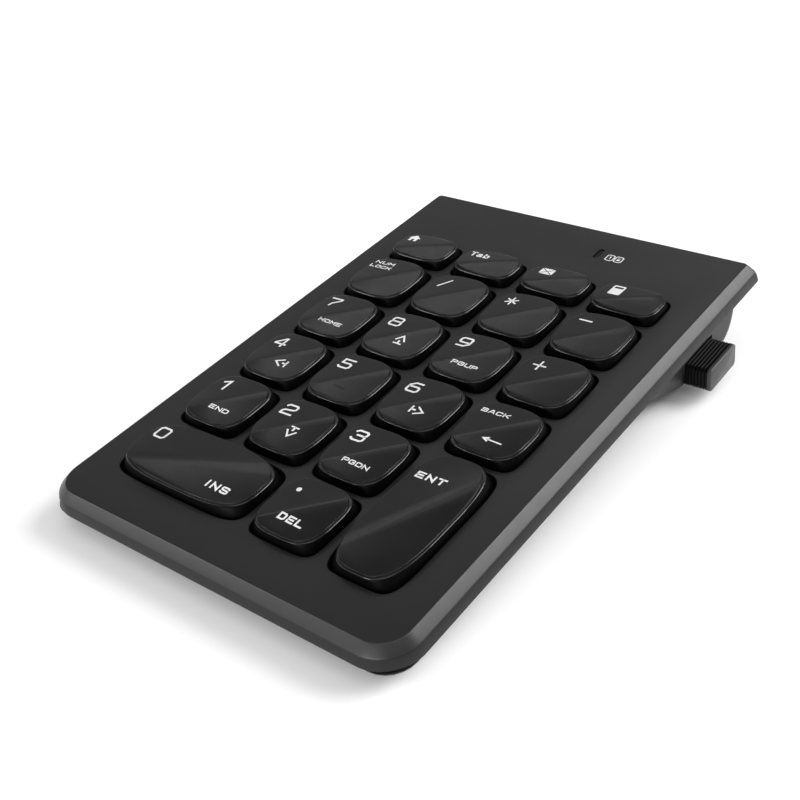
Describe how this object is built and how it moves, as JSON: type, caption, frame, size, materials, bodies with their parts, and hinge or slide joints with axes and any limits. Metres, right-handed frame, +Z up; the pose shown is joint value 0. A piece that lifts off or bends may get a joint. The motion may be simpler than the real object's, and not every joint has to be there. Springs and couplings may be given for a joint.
{
  "type": "numeric keypad",
  "caption": "Slim wireless numeric keypad: a sloping case with round-cornered keys, a row of short function keys and a receiver stored in its rear hump.",
  "frame": {"origin": "centre of the underside, on the surface the feet stand on", "axes": "+X to the user's right, where the stored receiver sticks out; +Y away from the user, towards the raised rear edge; +Z up"},
  "size_m": [0.0946, 0.1398, 0.024],
  "materials": {
    "case_black": "fine matte texture",
    "cap_black": "semi-gloss",
    "receiver_black": "satin",
    "silicone": "translucent matte",
    "film": "clear film",
    "steel": "plain",
    "cell_wrap": "printed wrap",
    "board_green": "solder mask",
    "light_plastic": "clear",
    "rubber": "matte"
  },
  "bodies": {
    "case": {"top_case": "case_black", "bottom_case": "case_black", "dome_mat": "silicone", "switch_membrane": "film", "backing_plate": "steel", "control_board": "board_green", "radio_chip": "receiver_black", "status_led": "light_plastic", "light_guide": "light_plastic", "battery_1": "cell_wrap", "battery_2": "cell_wrap", "contact_bridge": "steel", "contact_positive": "steel", "contact_negative": "steel", "spring_front": "steel", "spring_rear": "steel", "power_switch_body": "steel", "screw_front_left": "steel", "screw_front_right": "steel", "screw_rear_left": "steel", "screw_rear_right": "steel", "foot_front_left": "rubber", "foot_front_right": "rubber", "foot_rear_left": "rubber", "foot_rear_right": "rubber"},
    "key_0": {"key_0": "cap_black"},
    "key_decimal": {"key_decimal": "cap_black"},
    "key_enter": {"key_enter": "cap_black"},
    "key_1": {"key_1": "cap_black"},
    "key_2": {"key_2": "cap_black"},
    "key_3": {"key_3": "cap_black"},
    "key_4": {"key_4": "cap_black"},
    "key_5": {"key_5": "cap_black"},
    "key_6": {"key_6": "cap_black"},
    "key_backspace": {"key_backspace": "cap_black"},
    "key_7": {"key_7": "cap_black"},
    "key_8": {"key_8": "cap_black"},
    "key_9": {"key_9": "cap_black"},
    "key_plus": {"key_plus": "cap_black"},
    "key_num_lock": {"key_num_lock": "cap_black"},
    "key_divide": {"key_divide": "cap_black"},
    "key_multiply": {"key_multiply": "cap_black"},
    "key_minus": {"key_minus": "cap_black"},
    "key_home": {"key_home": "cap_black"},
    "key_tab": {"key_tab": "cap_black"},
    "key_mail": {"key_mail": "cap_black"},
    "key_calculator": {"key_calculator": "cap_black"},
    "stabiliser_0": {"stabiliser_0": "steel"},
    "stabiliser_enter": {"stabiliser_enter": "steel"},
    "receiver": {"receiver_body": "receiver_black", "receiver_plug": "steel", "receiver_tongue": "receiver_black"},
    "power_switch": {"power_switch_knob": "receiver_black"},
    "battery_cover": {"battery_cover": "case_black"}
  },
  "joints": [
    {"name": "key_0_press", "type": "slide", "parent": "case", "child": "key_0", "axis": [0, 0.1035, -0.9946], "range_m": [0, 0.002], "stiffness_N_per_m": 220, "springref_m": -0.0008},
    {"name": "key_decimal_press", "type": "slide", "parent": "case", "child": "key_decimal", "axis": [0, 0.1035, -0.9946], "range_m": [0, 0.002], "stiffness_N_per_m": 220, "springref_m": -0.0008},
    {"name": "key_enter_press", "type": "slide", "parent": "case", "child": "key_enter", "axis": [0, 0.1035, -0.9946], "range_m": [0, 0.002], "stiffness_N_per_m": 220, "springref_m": -0.0008},
    {"name": "key_1_press", "type": "slide", "parent": "case", "child": "key_1", "axis": [0, 0.1035, -0.9946], "range_m": [0, 0.002], "stiffness_N_per_m": 220, "springref_m": -0.0008},
    {"name": "key_2_press", "type": "slide", "parent": "case", "child": "key_2", "axis": [0, 0.1035, -0.9946], "range_m": [0, 0.002], "stiffness_N_per_m": 220, "springref_m": -0.0008},
    {"name": "key_3_press", "type": "slide", "parent": "case", "child": "key_3", "axis": [0, 0.1035, -0.9946], "range_m": [0, 0.002], "stiffness_N_per_m": 220, "springref_m": -0.0008},
    {"name": "key_4_press", "type": "slide", "parent": "case", "child": "key_4", "axis": [0, 0.1035, -0.9946], "range_m": [0, 0.002], "stiffness_N_per_m": 220, "springref_m": -0.0008},
    {"name": "key_5_press", "type": "slide", "parent": "case", "child": "key_5", "axis": [0, 0.1035, -0.9946], "range_m": [0, 0.002], "stiffness_N_per_m": 220, "springref_m": -0.0008, "deforming": ["dome_mat"]},
    {"name": "key_6_press", "type": "slide", "parent": "case", "child": "key_6", "axis": [0, 0.1035, -0.9946], "range_m": [0, 0.002], "stiffness_N_per_m": 220, "springref_m": -0.0008},
    {"name": "key_backspace_press", "type": "slide", "parent": "case", "child": "key_backspace", "axis": [0, 0.1035, -0.9946], "range_m": [0, 0.002], "stiffness_N_per_m": 220, "springref_m": -0.0008},
    {"name": "key_7_press", "type": "slide", "parent": "case", "child": "key_7", "axis": [0, 0.1035, -0.9946], "range_m": [0, 0.002], "stiffness_N_per_m": 220, "springref_m": -0.0008},
    {"name": "key_8_press", "type": "slide", "parent": "case", "child": "key_8", "axis": [0, 0.1035, -0.9946], "range_m": [0, 0.002], "stiffness_N_per_m": 220, "springref_m": -0.0008},
    {"name": "key_9_press", "type": "slide", "parent": "case", "child": "key_9", "axis": [0, 0.1035, -0.9946], "range_m": [0, 0.002], "stiffness_N_per_m": 220, "springref_m": -0.0008},
    {"name": "key_plus_press", "type": "slide", "parent": "case", "child": "key_plus", "axis": [0, 0.1035, -0.9946], "range_m": [0, 0.002], "stiffness_N_per_m": 220, "springref_m": -0.0008},
    {"name": "key_num_lock_press", "type": "slide", "parent": "case", "child": "key_num_lock", "axis": [0, 0.1035, -0.9946], "range_m": [0, 0.002], "stiffness_N_per_m": 220, "springref_m": -0.0008},
    {"name": "key_divide_press", "type": "slide", "parent": "case", "child": "key_divide", "axis": [0, 0.1035, -0.9946], "range_m": [0, 0.002], "stiffness_N_per_m": 220, "springref_m": -0.0008},
    {"name": "key_multiply_press", "type": "slide", "parent": "case", "child": "key_multiply", "axis": [0, 0.1035, -0.9946], "range_m": [0, 0.002], "stiffness_N_per_m": 220, "springref_m": -0.0008},
    {"name": "key_minus_press", "type": "slide", "parent": "case", "child": "key_minus", "axis": [0, 0.1035, -0.9946], "range_m": [0, 0.002], "stiffness_N_per_m": 220, "springref_m": -0.0008},
    {"name": "key_home_press", "type": "slide", "parent": "case", "child": "key_home", "axis": [0, 0.1035, -0.9946], "range_m": [0, 0.002], "stiffness_N_per_m": 220, "springref_m": -0.0008},
    {"name": "key_tab_press", "type": "slide", "parent": "case", "child": "key_tab", "axis": [0, 0.1035, -0.9946], "range_m": [0, 0.002], "stiffness_N_per_m": 220, "springref_m": -0.0008},
    {"name": "key_mail_press", "type": "slide", "parent": "case", "child": "key_mail", "axis": [0, 0.1035, -0.9946], "range_m": [0, 0.002], "stiffness_N_per_m": 220, "springref_m": -0.0008},
    {"name": "key_calculator_press", "type": "slide", "parent": "case", "child": "key_calculator", "axis": [0, 0.1035, -0.9946], "range_m": [0, 0.002], "stiffness_N_per_m": 220, "springref_m": -0.0008},
    {"name": "stabiliser_0_turn", "type": "hinge", "parent": "case", "child": "stabiliser_0", "pos_m": [-0.0198, -0.04459, 0.00974], "axis": [1, 0, 0], "range_deg": [0, 15.6]},
    {"name": "stabiliser_enter_turn", "type": "hinge", "parent": "case", "child": "stabiliser_enter", "pos_m": [0.0327, -0.04037, 0.01018], "axis": [0, -0.9946, -0.1035], "range_deg": [0, 15.6]},
    {"name": "receiver_slide", "type": "slide", "parent": "case", "child": "receiver", "axis": [1, 0, 0], "range_m": [0, 0.016]},
    {"name": "power_switch_slide", "type": "slide", "parent": "case", "child": "power_switch", "axis": [0, 0.9946, 0.1035], "range_m": [0, 0.003]},
    {"name": "battery_cover_hinge", "type": "hinge", "parent": "case", "child": "battery_cover", "pos_m": [-0.0008, 0.04114, 0.00126], "axis": [-1, 0, 0], "range_deg": [0, 60]}
  ],
  "couplings": [
    {"joint": "stabiliser_0_turn", "follows": "key_0_press", "rad_per_m": 132.6},
    {"joint": "stabiliser_enter_turn", "follows": "key_enter_press", "rad_per_m": 132.6}
  ]
}
